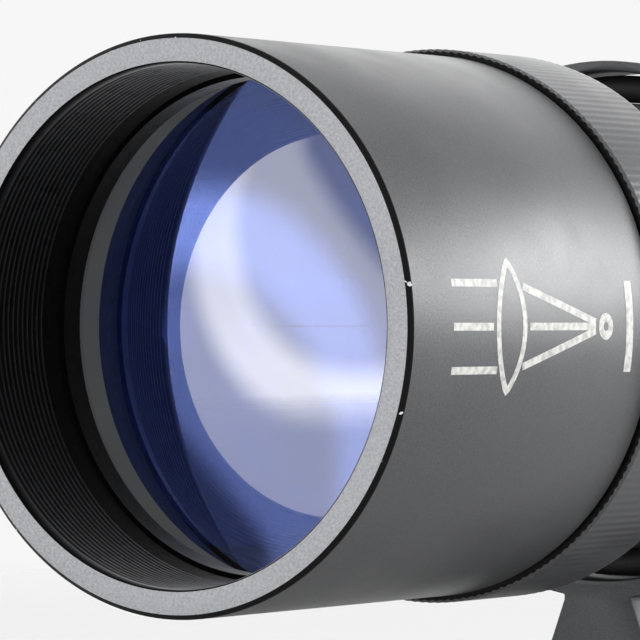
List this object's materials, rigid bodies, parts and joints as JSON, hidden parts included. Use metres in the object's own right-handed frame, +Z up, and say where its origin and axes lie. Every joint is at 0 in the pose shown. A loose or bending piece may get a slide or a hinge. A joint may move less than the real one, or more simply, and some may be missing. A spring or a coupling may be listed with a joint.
{
  "type": "guide scope",
  "caption": "Small refractor that carries a guide camera: lens barrel with dew shield, lock ring, tilting bracket on a dovetail foot, helical focuser and 1.25 inch holder.",
  "frame": {"origin": "centre of the dovetail foot's bottom face", "axes": "+Z up, +Y along the optical axis from the objective to the camera holder, +X to the right seen from in front"},
  "size_m": [0.0764, 0.208, 0.099],
  "materials": {
    "barrel_anodised": "bead-blasted dark grey anodising, satin",
    "ring_anodised": "black anodising, straight-knurled",
    "tube_anodised": "black anodising, satin",
    "bracket_black": "black anodising, satin",
    "foot_black": "black anodising with worn edges",
    "retainer_black": "matte black, spanner notches",
    "baffle_black": "flat black",
    "crown_glass": "polished, blue-violet coating",
    "flint_glass": "polished, blue-violet coating",
    "seal_rubber": "matte black rubber",
    "screw_black": "black anodised, straight-knurled head",
    "screw_steel": "turned steel",
    "black_steel": "black oxide steel",
    "nylon_tip": "natural nylon",
    "plunger_plate": "nickel plated",
    "spring_steel": "drawn wire",
    "brass": "turned brass"
  },
  "bodies": {
    "bracket": {"front_ring": "bracket_black", "rear_ring": "bracket_black", "dovetail_foot": "foot_black", "foot_screws": "black_steel", "plunger_housing": "plunger_plate", "plunger_spring": "spring_steel"},
    "pivot_seal": {"tube_o_ring": "seal_rubber"},
    "tube": {"main_tube": "tube_anodised", "tube_baffle": "baffle_black", "rear_cell": "tube_anodised", "guide_screw": "black_steel", "ring_retainer_screws": "black_steel"},
    "objective": {"crown_lens": "crown_glass", "flint_lens": "flint_glass", "lens_retaining_ring": "retainer_black"},
    "barrel": {"front_barrel": "barrel_anodised"},
    "lock_ring": {"lock_ring": "ring_anodised"},
    "focus_ring": {"focus_ring": "ring_anodised"},
    "draw_tube": {"draw_tube": "tube_anodised", "camera_holder": "tube_anodised", "compression_ring": "brass"},
    "right_tip": {"right_screw_tip": "nylon_tip"},
    "right_screw": {"right_adjusting_screw": "screw_black"},
    "left_tip": {"left_screw_tip": "nylon_tip"},
    "left_screw": {"left_adjusting_screw": "screw_black"},
    "plunger": {"plunger_pin": "plunger_plate"},
    "left_holder_shank": {"left_holder_screw_shank": "screw_steel"},
    "left_holder_knob": {"left_holder_screw_knob": "screw_black"},
    "right_holder_shank": {"right_holder_screw_shank": "screw_steel"},
    "right_holder_knob": {"right_holder_screw_knob": "screw_black"}
  },
  "joints": [
    {"name": "aim_right", "type": "hinge", "parent": "bracket", "child": "pivot_seal", "pos_m": [0, -0.025, 0.052], "axis": [0.7071, 0, 0.7071], "range_deg": [-1.71, 1.71]},
    {"name": "aim_left", "type": "hinge", "parent": "pivot_seal", "child": "tube", "pos_m": [0, -0.025, 0.052], "axis": [0.7071, 0, -0.7071], "range_deg": [-1.71, 1.71]},
    {"name": "right_screw_feed", "type": "slide", "parent": "bracket", "child": "right_tip", "axis": [-0.7071, 0, 0.7071], "range_m": [-0.0015, 0.0015]},
    {"name": "right_screw_turn", "type": "hinge", "parent": "right_tip", "child": "right_screw", "pos_m": [0, 0.025, 0.052], "axis": [-0.7071, 0, 0.7071], "range_deg": [-670, 670]},
    {"name": "left_screw_feed", "type": "slide", "parent": "bracket", "child": "left_tip", "axis": [0.7071, 0, 0.7071], "range_m": [-0.0015, 0.0015]},
    {"name": "left_screw_turn", "type": "hinge", "parent": "left_tip", "child": "left_screw", "pos_m": [0, 0.025, 0.052], "axis": [0.7071, 0, 0.7071], "range_deg": [-670, 670]},
    {"name": "plunger_slide", "type": "slide", "parent": "bracket", "child": "plunger", "axis": [0, 0, 1], "range_m": [-0.0011, 0.0011], "deforming": ["plunger_spring"]},
    {"name": "objective_slide", "type": "slide", "parent": "tube", "child": "objective", "axis": [0, -1, 0], "range_m": [0, 0.004]},
    {"name": "barrel_turn", "type": "hinge", "parent": "objective", "child": "barrel", "pos_m": [0, -0.09, 0.052], "axis": [0, -1, 0], "range_deg": [0, 1440]},
    {"name": "lock_ring_turn", "type": "hinge", "parent": "tube", "child": "lock_ring", "pos_m": [0, -0.056, 0.052], "axis": [0, -1, 0], "range_deg": [-360, 0]},
    {"name": "focus_ring_turn", "type": "hinge", "parent": "tube", "child": "focus_ring", "pos_m": [0, 0.0613, 0.052], "axis": [0, -1, 0], "range_deg": [-150, 150]},
    {"name": "draw_tube_slide", "type": "slide", "parent": "tube", "child": "draw_tube", "axis": [0, 1, 0], "range_m": [-0.005, 0.005]},
    {"name": "left_holder_feed", "type": "slide", "parent": "draw_tube", "child": "left_holder_shank", "axis": [-0.7071, 0, 0.7071], "range_m": [0, 0.002]},
    {"name": "left_holder_turn", "type": "hinge", "parent": "left_holder_shank", "child": "left_holder_knob", "pos_m": [0, 0.09, 0.052], "axis": [-0.7071, 0, 0.7071], "range_deg": [0, 1020]},
    {"name": "right_holder_feed", "type": "slide", "parent": "draw_tube", "child": "right_holder_shank", "axis": [0.7071, 0, 0.7071], "range_m": [0, 0.002]},
    {"name": "right_holder_turn", "type": "hinge", "parent": "right_holder_shank", "child": "right_holder_knob", "pos_m": [0, 0.09, 0.052], "axis": [0.7071, 0, 0.7071], "range_deg": [0, 1020]}
  ],
  "couplings": [
    {"joint": "aim_right", "follows": "right_screw_turn", "ratio": 0.0025465},
    {"joint": "right_screw_feed", "follows": "right_screw_turn", "m_per_rad": 0.00012732},
    {"joint": "plunger_slide", "follows": "right_screw_turn", "m_per_rad": 0.000090032},
    {"joint": "aim_left", "follows": "left_screw_turn", "ratio": 0.0025465},
    {"joint": "left_screw_feed", "follows": "left_screw_turn", "m_per_rad": 0.00012732},
    {"joint": "objective_slide", "follows": "barrel_turn", "m_per_rad": 0.000159},
    {"joint": "draw_tube_slide", "follows": "focus_ring_turn", "m_per_rad": 0.0019},
    {"joint": "left_holder_feed", "follows": "left_holder_turn", "m_per_rad": 0.00011141},
    {"joint": "right_holder_feed", "follows": "right_holder_turn", "m_per_rad": 0.00011141}
  ]
}
